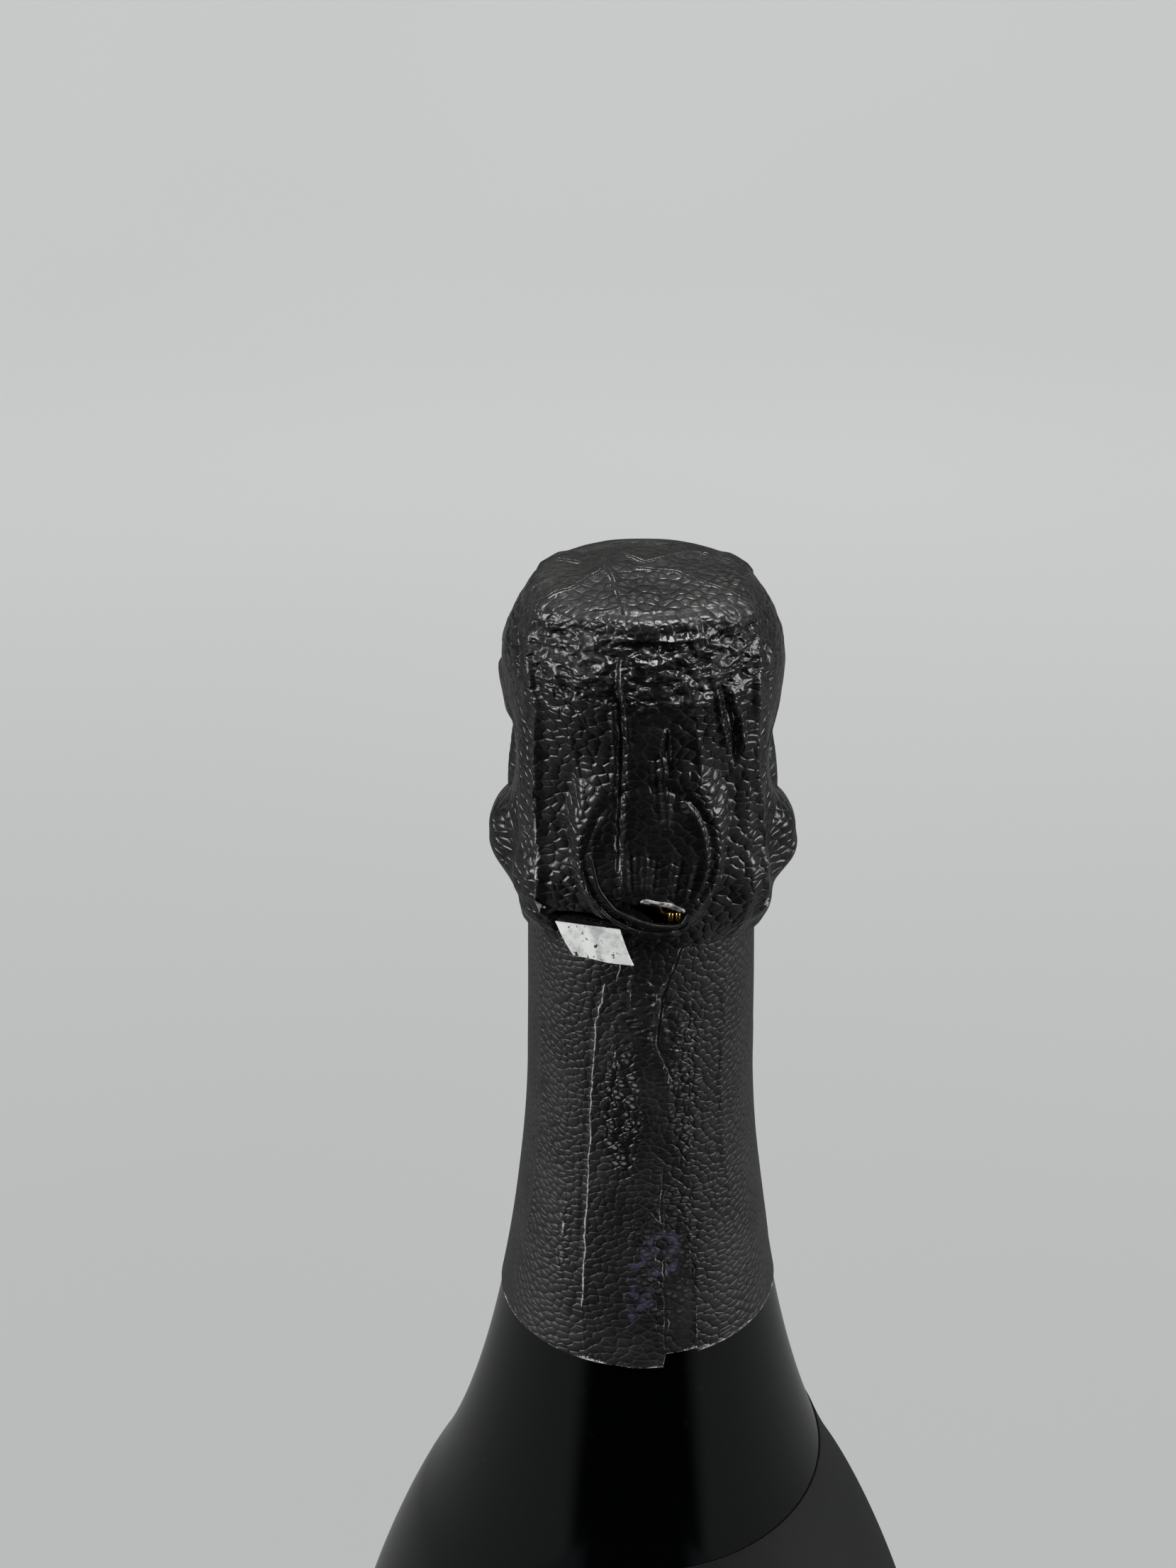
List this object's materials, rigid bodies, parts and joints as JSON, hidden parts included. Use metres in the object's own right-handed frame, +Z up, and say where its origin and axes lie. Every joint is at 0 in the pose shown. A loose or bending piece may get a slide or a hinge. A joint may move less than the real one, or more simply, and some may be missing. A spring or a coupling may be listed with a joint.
{
  "type": "champagne bottle",
  "caption": "Sealed champagne bottle of dark glass, with a foil hood over cork and wire cage, a tear tab and a bare label.",
  "frame": {"origin": "centre of the base, on the plane the bottle stands on", "axes": "+Z up the bottle's axis, the wire loop of the cage faces -Y, the front label turns towards +X"},
  "size_m": [0.0936, 0.0934, 0.314],
  "materials": {
    "glass": "gloss",
    "wine": "gloss",
    "cork": "matte",
    "cork_disc": "matte",
    "cap_sheet": "satin",
    "gold_wire": "satin",
    "dark_foil": "satin",
    "tape_film": "satin",
    "label_paper": "matte"
  },
  "bodies": {
    "bottle": {"glass_bottle": "glass", "wine": "wine", "neck_foil": "dark_foil", "tear_strip": "dark_foil", "tear_tape": "tape_film", "front_label": "label_paper"},
    "cork": {"cork_body": "cork", "cork_disc_upper": "cork_disc", "cork_disc_lower": "cork_disc"},
    "cage": {"cap_plaque": "cap_sheet", "cage_wire": "gold_wire", "belt_wire": "gold_wire", "foil_hood": "dark_foil"},
    "loop": {"wire_loop": "gold_wire", "loop_foil": "dark_foil"},
    "tab": {"tear_tab": "tape_film"}
  },
  "joints": [
    {"name": "cork_pull", "type": "slide", "parent": "bottle", "child": "cork", "axis": [0, 0, 1], "range_m": [0, 0.026], "deforming": ["belt_wire"]},
    {"name": "cage_lift", "type": "slide", "parent": "cork", "child": "cage", "axis": [0, 0, 1], "range_m": [0, 0.045], "deforming": ["belt_wire"]},
    {"name": "loop_fold", "type": "hinge", "parent": "cage", "child": "loop", "pos_m": [0.00397, -0.0167, 0.277], "axis": [0.9983, 0.0576, 0], "range_deg": [0, 100]},
    {"name": "tab_lift", "type": "hinge", "parent": "bottle", "child": "tab", "pos_m": [-0.00633, -0.01567, 0.2743], "axis": [-0.9272, 0.3746, 0], "range_deg": [0, 80]}
  ]
}
